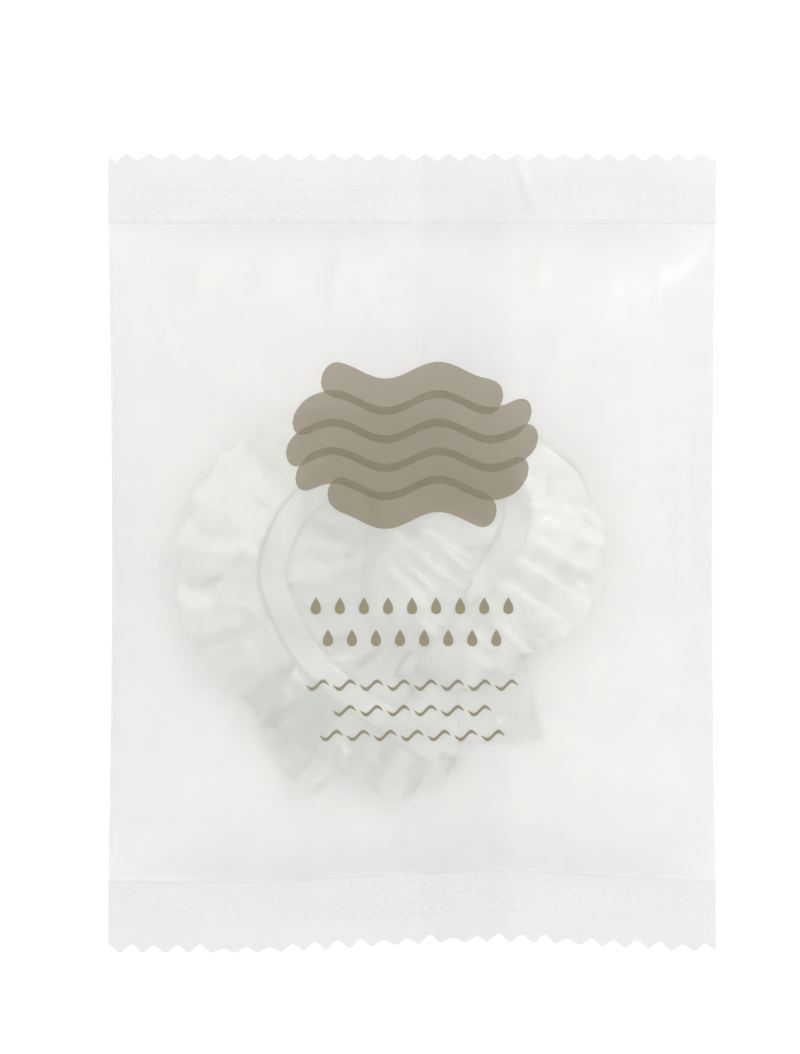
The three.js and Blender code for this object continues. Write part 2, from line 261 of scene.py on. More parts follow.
# %% [markdown]
# ## The pouch
#
# The sachet is a pillow pack: a tube of film, flat at both end seals and swollen by what is in it. The
# swelling is a formula on two shares, across and along, that is 1 in the middle and 0 at the folds and seals.
# The CAD panels swell in a like way, so the film made here lies where they are.

# %% Sizes of the pouch, in millimetres
HALF_WIDTH = 42.0
HALF_HEIGHT = 55.25
SEAL_EDGE = 45.65
SEAL_Z = 3.4
FRONT_TOP = 9.35
SIDE_PULL = 0.5
BOW, BOW_CENTRE, BOW_REACH = 1.5, 11.0, 36.0
FILM = 0.08
SEAL_FILM = 0.2
FOLD_RISE, FOLD_REACH = 0.5, 0.6
SIDE_POWER, SEAL_POWER = 4, 6


def bow(x):
    """How far the filled pouch draws the bottom seal up."""
    share = np.minimum(1, np.abs(x - BOW_CENTRE) / BOW_REACH)
    return BOW * (1 + np.cos(math.pi * share)) / 2


def pouch_plan(u, v):
    """Place in plan for shares from -1 to 1 across and along."""
    x = u * (HALF_WIDTH - SIDE_PULL * (1 - v**2))
    low = -SEAL_EDGE + bow(x)
    return x, low + (SEAL_EDGE - low) * (v + 1) / 2


def pouch_shares(x, y):
    low = -SEAL_EDGE + bow(x)
    v = np.clip(2 * (y - low) / (SEAL_EDGE - low) - 1, -1, 1)
    return np.clip(x / (HALF_WIDTH - SIDE_PULL * (1 - v**2)), -1, 1), v


print("pouch", 2 * HALF_WIDTH, "x", 2 * SEAL_EDGE, "mm between its seals")

# %% [markdown]
# ## Frosted film
#
# The sachet's film is milky: part of the light is scattered back white, part goes through rough and blurs
# what lies behind, and a little goes straight through. These are three shares of one Principled shader:
# diffuse colour, rough transmission and alpha. Faint clouds and streaks along the web keep it from looking
# like flat plastic. Where more plies lie behind, a mark on the mesh paints it a little darker, as painted
# shade for the light those plies hold back, and where welding has puckered it beside a seal, another makes it
# denser. The back wall is milkier than the front: a render stops following light that goes to and fro between
# many clear sheets, and the pouch would come out grey.

# %% The frosted finishes
STREAK_SIZE, CLOUD_SIZE, GRAIN_SIZE = 1.6, 9.0, 0.35
ALONG_WEB = (1.0, 0.06, 1.0)
DULLING = 0.96
PUCKER_ALPHA = 0.17
WEB_BUMP = 0.012


def frosted_film(name, colour, alpha, through_rough):
    """Milky film. A part of its light goes through rough, and what alpha leaves out goes straight through."""
    finish = Finish(name)
    streaks = finish.cloud(STREAK_SIZE, squeeze=ALONG_WEB)
    clouds = finish.cloud(CLOUD_SIZE)
    grain = finish.cloud(GRAIN_SIZE, 4.0)
    dull_and_shade = tuple(DULLING * part for part in colour[:3]) + (1.0,)
    clouded = finish.blend_colours(clouds, dull_and_shade, colour)
    finish.wear({
        # Painted shade: the colour is a little darker where the extra_plies mark is set; the clouds use the
        # same darker tone.
        "Base Color": finish.blend_colours(finish.mark("extra_plies"), clouded, dull_and_shade),
        "Roughness": 0.27 + 0.12 * streaks,
        "Alpha": alpha - 0.03 + 0.06 * clouds + PUCKER_ALPHA * finish.mark("near_seal"),
        "Normal": finish.bump(grain + streaks, WEB_BUMP),
        "Transmission Weight": through_rough,
        "IOR": 1.4,
        "Coat Weight": 0.1,
        "Coat Roughness": 0.3,
    })
    return finish


wall_film = frosted_film("wall_film", (0.95, 0.934, 0.918, 1), 0.39, 0.23)
welded_film = frosted_film("welded_film", (0.79, 0.771, 0.755, 1), 0.92, 0.1)
back_wall_film = frosted_film("back_wall_film", (0.955, 0.942, 0.925, 1), 0.84, 0.1)
fin_film = frosted_film("fin_film", (0.98, 0.97, 0.955, 1), 0.7, 0.2)

# %% [markdown]
# ## Front film
#
# The wall that faces the viewer. It could be a cloth simulation of an inflated tube, but the pillow is so
# shallow that a formula gives the same form with full control of the folds: short darts under the top seal
# where the tube widens, long soft folds beside the right edge, and faint waviness elsewhere.

# %% Folds of the front film, as start, end, width and height in millimetres
FRONT_FOLDS = [
    ((-28, 47), (-30.4, 32), 1.5, 0.5),
    ((-8.4, 47), (-11.6, 33), 1.3, 0.65),
    ((20.4, 47), (15.4, 34), 1.4, 0.65),
    ((-39, 42), (-27, 13), 1, 0.22),
    ((31, 44), (32, -18), 1.5, 0.4),
    ((33.8, 46), (35, 2), 1.1, 0.35),
    ((36.6, 40), (37.2, -28), 0.9, 0.4),
    ((3, 47), (0.6, 27), 1.8, 0.2),
    ((-18.4, 48), (-21.4, 35), 1.6, 0.15),
    ((28.6, 47), (26.6, 30), 1.6, 0.2),
    ((-36, 47), (-37.4, 30), 1.3, 0.2),
    ((-17, -46), (-9, -36), 1.4, 0.4),
    ((-2.5, -34), (1.5, -44.5), 1.2, 0.4),
    ((24, -46), (20, -34), 1.5, 0.4),
    ((-37.5, 20), (-38, -30), 1.1, 0.35),
]
FOLD_ONSET, WAVE_ONSET = 25, 4
WAVINESS, WAVE_SIZE = 0.05, 13.0


# %% Height of the front film
def front_height(x, y):
    """Height of the middle of the front film."""
    u, v = pouch_shares(x, y)
    full = (1 - np.abs(u) ** SIDE_POWER) * smooth(1 - np.abs(v) ** SEAL_POWER)
    from_side = HALF_WIDTH * (1 - np.abs(u))
    z = SEAL_Z + FILM / 2 + (FRONT_TOP - SEAL_Z) * full
    side_fold = FOLD_RISE * (1 - np.exp(-from_side / FOLD_REACH))
    z = z + side_fold * (1 - v**SEAL_POWER) * np.abs(u) ** SIDE_POWER
    for fold in FRONT_FOLDS:
        z = z + ridge(x, y, *fold) * smooth(FOLD_ONSET * full)
    return z + WAVINESS * ripples(x, y, WAVE_SIZE, 3) * smooth(WAVE_ONSET * full)


# %% Make the front film, with closer columns at its sides
FRONT_COLUMNS, FRONT_ROWS = 240, 250
CROWDING = 0.43 * math.pi
NARROW_PUCKER, BROAD_PUCKER, BROAD_WEIGHT = 1.3, 13.0, 0.65
across_share = np.sin(np.linspace(-1, 1, FRONT_COLUMNS) * CROWDING) / math.sin(CROWDING)
u, v = np.meshgrid(across_share, np.linspace(-1, 1, FRONT_ROWS), indexing="ij")
x, y = pouch_plan(u, v)
front_grid = np.stack([x, y, front_height(x, y)], axis=-1)
from_seal = SEAL_EDGE * (1 - np.abs(v))
narrow_pucker = smooth(1 - from_seal / NARROW_PUCKER)
broad_pucker = BROAD_WEIGHT * (1 - u**2) * smooth(1 - from_seal / BROAD_PUCKER)
front_marks = {"near_seal": np.maximum(narrow_pucker, broad_pucker)}
front_film = film("front_film", [front_grid], FILM, wall_film, marks=front_marks)
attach(front_film, "sachet")
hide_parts("front_panel")
cut_flat(front_grid)

# %% [markdown]
# ## Back film
#
# Two walls that meet at the fin. They lie flat on the table, climb to the seals at their ends, and step over
# the fin that is folded under the right one. They could be the front film turned over, but film that is
# pressed on a table is flat, so it has a formula of its own.

# %% Heights behind
FIN_ROOT, FIN_WIDTH, FIN_STEP, FIN_RAMP = 1.4, 12.0, 0.75, 2.5
FIN_MARGIN = 0.3
BACK_LIFT = 0.1


def fin_step(x):
    """How far the back film is lifted by the fin under it."""
    left = (x - (FIN_ROOT - FIN_MARGIN - FIN_RAMP)) / FIN_RAMP
    right = (FIN_ROOT + FIN_WIDTH + FIN_MARGIN + FIN_RAMP - x) / FIN_RAMP
    return FIN_STEP * smooth(np.minimum(left, right))


def settled(u, v):
    """How far the back film has come down from the seals onto the table."""
    full = (1 - np.abs(u) ** SIDE_POWER) * (1 - np.abs(v) ** SEAL_POWER)
    return 1 - (1 - np.minimum(1, 2 * full)) ** 2


def back_height(x, y):
    u, v = pouch_shares(x, y)
    edge = SEAL_Z - FILM / 2
    return edge + (BACK_LIFT + fin_step(x) - edge) * settled(u, v)


# %% Make the two back walls
BACK_COLUMNS, BACK_ROWS = 90, 160
FIN_SHARE = FIN_ROOT / HALF_WIDTH
for wall, start, end in [("back_film_left", -1.0, FIN_SHARE), ("back_film_right", FIN_SHARE, 1.0)]:
    u, v = np.meshgrid(np.linspace(start, end, BACK_COLUMNS), np.linspace(-1, 1, BACK_ROWS), indexing="ij")
    x, y = pouch_plan(u, v)
    grid = np.stack([x, y, back_height(x, y)], axis=-1)
    piece = film(wall, [grid], FILM, back_wall_film)
    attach(piece, "sachet")
    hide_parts(wall.replace("film", "panel"))
    cut_flat(grid)

# %% [markdown]
# ## End seals
#
# Each end of the tube is pressed between hot jaws and cut with a saw-tooth knife. The jaws leave four rows of
# small pads, so the pads are raised in the mesh, not painted. Where the fin runs in there are four plies in
# place of two, so the band is twice as thick.

# %% The saw-tooth and the crimp
TOOTH_PITCH, TOOTH_DEPTH = 3.175, 1.0
UNEVENNESS, UNEVEN_SIZE = 0.35, 9.0
CRIMP_COLUMN, CRIMP_ROW, CRIMP_ROWS = 1.5875, 1.42, 4
CRIMP_START = 0.65
JAW_LINES = [(0.12, 0.11), (0.5, 0.1)]
JAW_LINE_HEIGHT = 0.3


def saw_cut(x, start, roundness, seed):
    """How far the knife cut in from the tips. Roundness softens the teeth and makes them uneven."""
    turns = (x + HALF_WIDTH - start) / TOOTH_PITCH
    straight = 2 * np.abs(turns - np.round(turns))
    round_cut = (1 - np.cos(TURN * turns)) / 2
    uneven = 1 + roundness * UNEVENNESS * ripples(x, 0 * x, UNEVEN_SIZE, seed)
    return TOOTH_DEPTH * ((1 - roundness) * straight + roundness * round_cut) * np.clip(uneven, 0.6, 1.15)


def crimp(x, out, depth):
    """Height of the pads, and of two lines of the jaws, at a distance out from the seal's inner edge."""
    column = np.cos(TURN * x / CRIMP_COLUMN)
    row_share = (out - CRIMP_START) / CRIMP_ROW
    row = np.cos(TURN * row_share)
    inside = (row_share > -0.5) & (row_share < CRIMP_ROWS - 0.5)
    pads = smooth(0.5 + 2.0 * column) * smooth(0.75 + 1.6 * row) * inside
    lines = sum(bell(out - place, width) for place, width in JAW_LINES)
    return depth * (pads + JAW_LINE_HEIGHT * lines)


# %% Make the end seals
TOOTH_STEP = TOOTH_PITCH / 20
SEAL_ROWS = 72
SEAL_LAP = 0.12
CRIMP_LEAST, CRIMP_GAIN, CRIMP_SPREAD, CRIMP_PATCH = 0.55, 0.6, 0.15, 8.0
SEAL_WAVE, SEAL_WAVE_SIZE, SEAL_WAVE_ONSET = 0.13, 17.0, 6.0
TOP_FOLD = ((13.6, 57.0), (17.6, 45.0), 0.9, 0.3)
TOP_FOLD_ONSET = 3.0
SEALS = [
    ("top_seal", 1, 2.6, 0.15, 21, (-24.0, 18.0, 0.045)),
    ("bottom_seal", -1, 1.6, 0.7, 22, (-1.0, 22.0, 0.08)),
]
for seal, side, tooth_start, roundness, seed, (strong_x, strong_reach, crimp_depth) in SEALS:
    inner_lift = bow if side < 0 else np.zeros_like
    edge_x = np.arange(tooth_start % TOOTH_STEP - HALF_WIDTH, HALF_WIDTH, TOOTH_STEP)
    edge_x = np.concatenate([[-HALF_WIDTH], edge_x[1:-1], [HALF_WIDTH]])[::side]
    x, share = np.meshgrid(edge_x, np.linspace(0, 1, SEAL_ROWS), indexing="ij")
    depth = HALF_HEIGHT - SEAL_EDGE - saw_cut(x, tooth_start, roundness, seed)
    out = share * (depth + SEAL_LAP) - SEAL_LAP
    y = side * (SEAL_EDGE + out) + inner_lift(x)
    strength = CRIMP_LEAST + CRIMP_GAIN * bell(x - strong_x, strong_reach)
    strength = strength + CRIMP_SPREAD * ripples(x, y, CRIMP_PATCH, seed + 10)
    wave = SEAL_WAVE * ripples(x, y, SEAL_WAVE_SIZE, seed + 20) * smooth(out / SEAL_WAVE_ONSET)
    z = SEAL_Z + crimp(x, out, crimp_depth * np.clip(strength, 0.2, 1.3)) + wave
    if side > 0:
        z = z + ridge(x, y, *TOP_FOLD) * smooth(out / TOP_FOLD_ONSET)
    grid = np.stack([x, y, z], axis=-1)
    over_fin = (edge_x > FIN_ROOT) & (edge_x < FIN_ROOT + FIN_WIDTH)
    extra_plies = np.where(over_fin, 1.0, 0.0)[:, None] * np.ones_like(x)
    grid[:, :, 2] -= extra_plies * SEAL_FILM / 2
    thickness = SEAL_FILM * (1 + extra_plies)
    # The extra_plies mark also paints the band a little darker over the fin: painted shade for the light the
    # extra plies hold back.
    seal_marks = {"extra_plies": extra_plies}
    piece = film(seal + "_band", [grid], thickness, welded_film, marks=seal_marks)
    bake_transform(piece)
    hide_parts(seal)

# %% [markdown]
# ## Fin
#
# The two long edges of the web are welded face to face and folded flat on the back. Both ends of the fin are
# caught in the end seals, so when it is lifted it can only bow. Each ply is made in two halves, from its
# middle to either seal.

# %% Make the fin
FIN_COLUMNS, FIN_ROWS = 44, 120
FIN_WELD_START, FIN_WELD_RAMP = 2.5, 0.6
FIN_RIB, FIN_RIB_HEIGHT = 1.2, 0.03
FIN_CURL, FIN_CURL_REACH = 0.35, 0.9
FIN_END_DROP = 0.3
for ply, drop, edge_cut in [("fin_inner", 0.46, 0.5), ("fin_outer", 0.72, 0.0)]:
    for half, side in [("top", 1), ("foot", -1)]:
        s, v = np.meshgrid(np.linspace(0, 1, FIN_COLUMNS), np.linspace(0, side, FIN_ROWS), indexing="ij")
        if side < 0:
            s, v = s[:, ::-1], v[:, ::-1]
        x = FIN_ROOT + s * (FIN_WIDTH - edge_cut)
        low = -SEAL_EDGE + bow(x)
        y = low + (SEAL_EDGE - low) * (v + 1) / 2
        middle_x = np.full_like(x, FIN_ROOT + FIN_WIDTH / 2)
        u, along = pouch_shares(middle_x, y)
        down = settled(u, along)
        curl = FIN_CURL * (1 - smooth(s * FIN_WIDTH / FIN_CURL_REACH))
        welded = smooth((x - FIN_ROOT - FIN_WELD_START) / FIN_WELD_RAMP)
        ribs = FIN_RIB_HEIGHT * np.cos(TURN * y / FIN_RIB) * welded
        below = (curl - drop) * (FIN_END_DROP + (1 - FIN_END_DROP) * down)
        z = back_height(middle_x, y) + below + ribs
        grid = np.stack([x, y, z], axis=-1)
        piece = film(f"{ply}_{half}", [grid], FILM, fin_film)
        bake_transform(piece)
        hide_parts(f"{ply}_ply")
        cut_flat(grid)

# %% [markdown]
# ## The elastic ring
#
# Inside the sachet the cap's elastic is one loop, flattened to an upper and a lower run and folded over at
# both ends. Its plan is a smooth curve through thirteen points, read off the place of the cap's gathered
# band. The left lobe lies low and the right one on top of it, so the ring climbs as it goes over the top. A
# bevelled curve could carry the tape, but it tends to twist where the loop folds over, so the section is laid
# along the path here.

# %% The ring's path, in millimetres
RING_PLAN = np.array([
    (5.5, -28.6), (-2.1, -23.8), (-10.9, -17.5), (-17.0, -9.5), (-19.2, -1.8), (-15.5, 6.2), (-8.0, 11.4),
    (1.0, 12.8), (9.5, 11.2), (14.4, 6.8), (13.0, 0.9), (7.0, -7.2), (-0.5, -15.5),
])
LAST = len(RING_PLAN) - 1
LEFT_Z, RIGHT_Z, LAYER = 3.95, 7.75, 1.9
CLIMB_START, CLIMB_END = 6.1, 7.9
DIVE, DIVE_START, DIVE_LENGTH = 1.4, 10.2, 1.3
LOWER_END, LOWER_RISE = 0.6, 0.9
OVERLAP = 1.3
TAPER_LEAST, TAPER_LENGTH = 0.4, 1.4
SPLICE_GAP = 0.3
NUDGE = 1e-3


def through(points, numbers):
    """A smooth curve through points. A place on it is counted in points from 0."""
    padded = np.vstack([2 * points[0] - points[1], points, 2 * points[-1] - points[-2]])
    gap = np.sqrt(np.linalg.norm(np.diff(padded, axis=0), axis=1))[:, None]
    k = np.clip(np.floor(numbers).astype(int), 0, len(points) - 2)
    s = (numbers - k)[:, None]
    before, start, end, after = (padded[k + i] for i in range(4))
    first, second, third = (gap[k + i] for i in range(3))
    leave = ((start - before) / first - (end - before) / (first + second) + (end - start) / second) * second
    arrive = ((end - start) / second - (after - start) / (second + third) + (after - end) / third) * second
    square = -3 * start + 3 * end - 2 * leave - arrive
    cube = 2 * start - 2 * end + leave + arrive
    return start + leave * s + square * s**2 + cube * s**3


def lengths_along(points):
    """Length of a line of points, up to each of them."""
    return np.concatenate([[0], np.cumsum(np.linalg.norm(np.diff(points, axis=0), axis=1))])


# %% How the ring climbs, dives and closes
def climb(numbers):
    """Share of the way from the low left lobe up to the right one."""
    return smooth((numbers - CLIMB_START) / (CLIMB_END - CLIMB_START))


def dive(numbers):
    """Share of the way that the right end goes down between the lobes."""
    return smooth((numbers - DIVE_START) / DIVE_LENGTH)


def lower_end(numbers):
    """1 at the ring's end at the foot, 0 a little way up from it."""
    return smooth((LOWER_END - numbers) / LOWER_END)


def taper(numbers):
    """Share of its full width that the casing has. The gathers draw it together at its upper end."""
    return TAPER_LEAST + (1 - TAPER_LEAST) * smooth((LAST - numbers) / TAPER_LENGTH)


def cover(numbers):
    """Where the film starts, in half widths of the casing. It closes over the casing at both ends."""
    return 1 - OVERLAP * dive(numbers) - OVERLAP * lower_end(numbers)


# %% The ring and the loop that is folded along it
def ring_frame(numbers):
    """Points of the ring's upper run, its direction and the direction out of it, both in plan."""
    plan = through(RING_PLAN, numbers)
    behind = through(RING_PLAN, np.maximum(numbers - NUDGE, 0))
    ahead = through(RING_PLAN, np.minimum(numbers + NUDGE, LAST)) - behind
    ahead = ahead / np.linalg.norm(ahead, axis=1, keepdims=True)
    height = LEFT_Z + climb(numbers) * (RIGHT_Z - LEFT_Z)
    points = np.column_stack([plan, height])
    flat = np.zeros(len(numbers))
    return points, np.column_stack([ahead, flat]), np.column_stack([-ahead[:, 1], ahead[:, 0], flat])


def loop_path(run_steps, fold_steps):
    """The whole loop, from splice to splice: points, sideways directions and shares of full width."""
    numbers = np.linspace(0, LAST, run_steps)
    points, ahead, side = ring_frame(numbers)
    points[:, 2] -= DIVE * dive(numbers)
    drop = np.array([0, 0, LAYER])
    radius = LAYER / 2
    splice = SPLICE_GAP / radius

    def fold(i, onward, turn):
        angle = np.linspace(0, turn, fold_steps + 1)[1:, None]
        rise = onward * radius * np.cos(angle) * np.array([0, 0, 1.0])
        return points[i] - drop / 2 + onward * radius * np.sin(angle) * ahead[i] + rise

    path = [points, fold(-1, 1, math.pi), (points - drop)[-2::-1], fold(0, -1, math.pi - splice)]
    run = np.arange(run_steps)
    order = np.concatenate([run, np.full(fold_steps, run[-1]), run[-2::-1], np.full(fold_steps, 0)])
    return np.concatenate(path), side[order], taper(numbers)[order]


# %% A tube along the loop
def loop_tube(width, height, run_steps, fold_steps, corners, swell=None):
    """A tube with an oval section along the loop, as a grid. swell widens it from place to place."""
    path, sides, breadths = loop_path(run_steps, fold_steps)
    ahead = np.gradient(path, axis=0)
    up = np.cross(ahead, sides)
    up = up / np.linalg.norm(up, axis=1, keepdims=True)
    along = lengths_along(path)
    angle = np.linspace(0, TURN, corners, endpoint=False)
    grow = np.ones((len(path), corners)) if swell is None else swell(along[:, None], angle[None, :])
    sideways = (width / 2 * np.cos(angle) * grow * breadths[:, None])[:, :, None] * sides[:, None, :]
    upward = (height / 2 * np.sin(angle) * grow)[:, :, None] * up[:, None, :]
    return path[:, None, :] + sideways + upward, np.broadcast_to(along[:, None], (len(path), corners))


# %% The elastic
TAPE_WIDTH, TAPE_HEIGHT, TAPE_SKIN = 2.4, 0.5, 0.1
RIB_RATE = 14.0
tape = Finish("elastic_tape")
tape_ribs = tape.node("ShaderNodeMath", {"operation": "SINE"}, {0: RIB_RATE * tape.mark("along")})
tape_fuzz = tape.cloud(0.3, 3.0)
tape.wear({
    "Base Color": tape.blend_colours(tape_fuzz, (0.80, 0.80, 0.77, 1), (0.90, 0.90, 0.88, 1)),
    "Roughness": 0.7 + 0.2 * tape_fuzz,
    "Normal": tape.bump(0.5 * tape_ribs + tape_fuzz, 0.08),
})
tape_grid, tape_along = loop_tube(TAPE_WIDTH, TAPE_HEIGHT, 240, 10, 12)
tape_marks = {"along": tape_along}
elastic = film("elastic_loop", [tape_grid], TAPE_SKIN, tape, ring=True, marks=tape_marks)
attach(elastic, "cap")
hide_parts("elastic_band")

# %% [markdown]
# ## Cap film
#
# The cap is much thinner film than the sachet, milky with a faint green tint and glossy. Where it is folded,
# several plies lie on each other and less light comes back, so the finish reads the fold mark of each mesh:
# dark in the furrows, pale on the ridges. Besides the plies, the fold mark holds painted shade in furrows and
# creases and painted highlights on ridges and creases.

# %% The cap's finishes
CRUMPLE_SIZE, MOTTLE_SIZE = 0.9, 5.0
CRUMPLE_BUMP = 0.06


def glossy_film(name, furrow, crest, alpha, roughness):
    """Glossy film. The fold mark, partly painted shade and highlights, sets how pale it is; the plies mark
    how dense.
    """
    finish = Finish(name)
    crumples = finish.cloud(CRUMPLE_SIZE, 3.0)
    mottle = finish.cloud(MOTTLE_SIZE, 2.0)
    # The fold mark is partly ply tone and partly painted shade and painted highlights.
    paleness = finish.mark("fold") * (0.75 + 0.5 * mottle)
    finish.wear({
        "Base Color": finish.blend_colours(paleness, furrow, crest),
        "Roughness": roughness + 0.12 * mottle,
        "Alpha": (alpha + 0.12 * crumples) * finish.mark("plies"),
        "Normal": finish.bump(crumples, CRUMPLE_BUMP),
        "IOR": 1.5,
        "Transmission Weight": 0.15,
        "Coat Weight": 0.8,
        "Coat Roughness": 0.2,
    })
    return finish


cap_film = glossy_film("cap_film", (0.27, 0.335, 0.22, 1), (0.98, 0.995, 0.905, 1), 0.8, 0.1)
casing_film = glossy_film("casing_film", (0.42, 0.465, 0.37, 1), (0.78, 0.82, 0.705, 1), 0.84, 0.12)

# %% A sheet of the cap
CAP_FILM = 0.05


def cap_sheet(name, node, grid, fold, plies):
    """A gathered sheet of cap film that moves with the cap and stands for a node of the CAD model."""
    piece = film(name, [grid], CAP_FILM, cap_film, marks={"fold": fold, "plies": plies})
    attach(piece, "cap")
    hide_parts(node)
    cut_flat(grid)


# %% [markdown]
# ## Casing
#
# The channel of film that is welded round the elastic. The relaxed elastic gathers it, so it carries fine
# puckers across its length. They are a swelling of the tube that changes along it, a little different on each
# side. The fold mark paints the swellings paler and the pinches darker, as painted highlight and shade.

# %% Make the casing
CASING_WIDTH, CASING_HEIGHT, CASING_SKIN = 3.7, 1.3, 0.06
CASING_CORNERS = 20


def puckers(along, angle):
    """Share of its plain size that the tube has at a place along it and an angle round it."""
    wander = 0.35 * np.sin(angle) + 0.25 * np.cos(2 * angle)
    fine = np.abs(np.sin(math.pi * (along + wander) / 1.3 + 1.5 * np.sin(along / 4.1)))
    broad = np.sin(along / 2.3 + angle) * np.sin(along / 5.7)
    return 0.98 + 0.01 * fine + 0.045 * broad


casing_grid, casing_along = loop_tube(CASING_WIDTH, CASING_HEIGHT, 900, 30, CASING_CORNERS, puckers)
ring_angle = np.linspace(0, TURN, CASING_CORNERS, endpoint=False)
# Painted highlight and shade: the casing is paler where its puckers swell and darker where they pinch.
pucker_painted_light = np.clip((puckers(casing_along, ring_angle[None, :]) - 0.93) / 0.1, 0, 1)
casing_marks = {"fold": pucker_painted_light, "plies": np.ones_like(pucker_painted_light)}
casing = film(
    "casing_channel", [casing_grid], CASING_SKIN, casing_film, ring=True, marks=casing_marks
)
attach(casing, "cap")
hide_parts("elastic_casing")
print("loop length", round(float(casing_along.max()), 1), "mm")

# %% [markdown]
# ## Frills
#
# Outside the casing the film stands free and falls in pleats: fine gathers at the casing that join into broad
# folds at the edge. A simulation would give other folds on each change of a setting, so the ridges are
# listed, by their place on the ring. Thin film folds like paper: flat facets meet in sharp creases, and those
# that face the light flash white. So each ridge and furrow gets a seeded height, with straight lines between
# them, and the fold mark paints ridges and seeded facets paler and furrows darker, partly ply tone and partly
# painted highlight and shade. Creases that stand out are listed too, and small ones are scattered by a seed.

# %% Pleats
ROUND_OFF = (-0.15, -0.05, 0.05, 0.15)


def facets(arc, ridges, seed):
    """Flat facets between ridges and furrows along a run: heights from -0.5 to 0.5, and facet shades."""
    draw = np.random.default_rng(seed)
    ridges = np.asarray(ridges)
    furrows = ridges[:-1] + draw.uniform(0.25, 0.75, len(ridges) - 1) * np.diff(ridges)
    places = np.sort(np.concatenate([ridges, furrows]))
    heights = draw.uniform(0.15, 0.5, len(places))
    heights[1::2] *= -1
    # Seeded facet shades: part ply tone, part painted highlight and shade on the facets.
    shades = draw.uniform(0, 1, len(places) + 1)
    height = sum(np.interp(arc + shift, places, heights) for shift in ROUND_OFF) / len(ROUND_OFF)
    shade = sum(shades[np.searchsorted(places, arc + shift)] for shift in ROUND_OFF) / len(ROUND_OFF)
    return height, shade


def uneven_ridges(length, pitch, seed):
    """Places of ridges along a run, at uneven steps of about the pitch."""
    draw = np.random.default_rng(seed)
    steps = pitch * draw.uniform(0.5, 1.5, int(2 * length / pitch) + 4)
    return np.cumsum(steps) - 2 * pitch


def station_values(values, shares):
    """A smooth value along a run, through values at even stations."""
    stations = np.column_stack([np.arange(len(values)), np.asarray(values, float)])
    line = through(stations, np.linspace(0, len(values) - 1, 400))
    return np.interp(shares * (len(values) - 1), line[:, 0], line[:, 1])


# %% Creases
SMALL_CREASES = 130
# SMALL_LIGHT, CREASE_LIGHT and CREASE_DARK paint creases into the fold mark: highlights on raised ones, shade
# in sunk ones.
SMALL_RISE, SMALL_LIGHT = 0.5, 1.4
CREASE_FADING = 0.8
CREASE_LIGHT, CREASE_DARK = 1.6, 0.7


def crumple(x, y, size, seed):
    """Sharp creases at odd angles, from about -0.5 to 0.5: the folded edge of smooth waves."""
    return 0.5 - np.abs(ripples(x, y, size, seed))


def small_creases(x, y):
    """Short seeded creases at all angles over the cap: raised ones painted as highlights, sunk ones as shade.
    """
    draw = np.random.default_rng(61)
    total = np.zeros_like(x)
    for _ in range(SMALL_CREASES):
        middle = draw.uniform((-32.0, -33.0), (28.0, 18.0))
        angle = draw.uniform(0, math.pi)
        half = draw.uniform(0.8, 2.6) * np.array([math.cos(angle), math.sin(angle)])
        width = draw.uniform(0.2, 0.42)
        height = draw.uniform(-0.4, 0.6)
        total = total + ridge(x, y, middle - half, middle + half, width, height, CREASE_FADING)
    return total


def creased(z, fold, x, y, creases):
    """Height and fold mark with the small and listed creases added: painted highlights where raised, shade
    where sunk.
    """
    small = small_creases(x, y)
    z = z + SMALL_RISE * small
    fold = fold + SMALL_LIGHT * small
    for crease in creases:
        rise = ridge(x, y, *crease, CREASE_FADING)
        z = z + rise
        fold = fold + np.where(rise > 0, CREASE_LIGHT, CREASE_DARK) * rise
    return z, fold


# %% Ridges by their place on the ring, and depths and tones from one end of a frill to the other
LEFT_RIDGES = [0.0, 0.5, 1.0, 1.5, 1.95, 2.3, 2.85, 3.4, 4.1, 4.5, 4.98, 5.45, 6.1, 6.95]
RIGHT_RIDGES = [7.0, 7.5, 8.0, 8.55, 9.1, 9.4, 9.75, 10.1, 10.42, 10.75, 11.2, 11.55, 12.0]
LEFT_TONES = [0.28, 0.24, 0.24, 0.36, 0.68, 0.86, 0.84, 0.72, 0.66]
RIGHT_TONES = [0.8, 0.92, 1.0, 0.98, 0.8, 0.56, 0.45]
UNDER_TONES = [0.55, 0.55]
LEFT_DEPTHS = [3, 8.2, 7.6, 10.5, 12, 12, 11, 7, 5.2]
LEFT_UNDER_DEPTHS = [2, 6.5, 12.5, 9, 11, 11.5, 10.5, 7.5, 5.2]
RIGHT_DEPTHS = [5.2, 6, 7, 11.2, 12.8, 10.5, 8]
RIGHT_UNDER_DEPTHS = [4.6, 5.4, 7.6, 10.4, 12, 11.4, 8]
FRILLS = [
    ("frill_left", (-0.1, 6.9), LEFT_RIDGES, LEFT_DEPTHS, 0, 31, 620, LEFT_TONES, 0.65, 0.05),
    ("frill_left_under", (0.1, 6.9), LEFT_RIDGES, LEFT_UNDER_DEPTHS, 1, 31, 420, UNDER_TONES, 0.55, 0.2),
    ("frill_right", (7.1, 11.9), RIGHT_RIDGES, RIGHT_DEPTHS, 0, 33, 520, RIGHT_TONES, 0.3, 0.6),
    ("frill_right_under", (7.1, 11.9), RIGHT_RIDGES, RIGHT_UNDER_DEPTHS, 1, 33, 360, UNDER_TONES, 0.4, 0.7),
]
